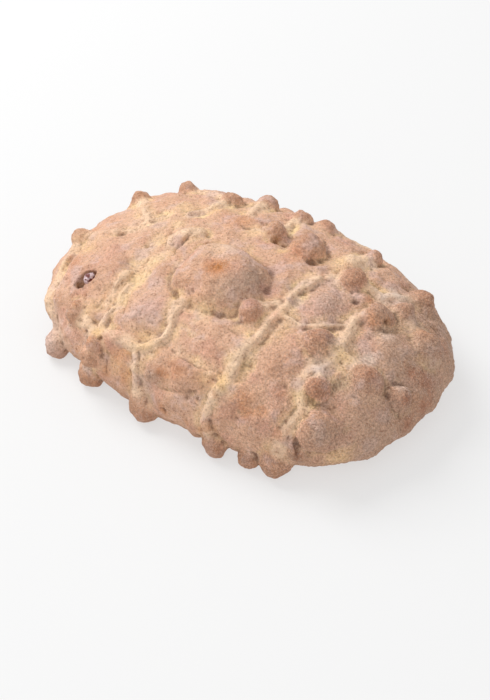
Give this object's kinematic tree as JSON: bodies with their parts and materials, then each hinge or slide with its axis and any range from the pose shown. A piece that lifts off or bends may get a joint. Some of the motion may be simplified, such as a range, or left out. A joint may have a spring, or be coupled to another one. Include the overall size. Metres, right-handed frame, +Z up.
{
  "type": "pan de muerto loaf",
  "caption": "Large oval sweet loaf with knobbed dough bones and a round head on top, for a festive table.",
  "frame": {"origin": "on the table under the middle of the loaf", "axes": "+X along the loaf, +Y across it away from the side that shows, +Z up"},
  "size_m": [0.3235, 0.2362, 0.0995],
  "materials": {
    "crust": "dry baked crust, dusty pinkish tan with cream bones and browned knobs, dusted with fine sugar",
    "nut": "reddish brown nut skin with a pale broken face"
  },
  "bodies": {
    "root": {"loaf": "crust", "nut_piece": "nut"}
  },
  "joints": []
}
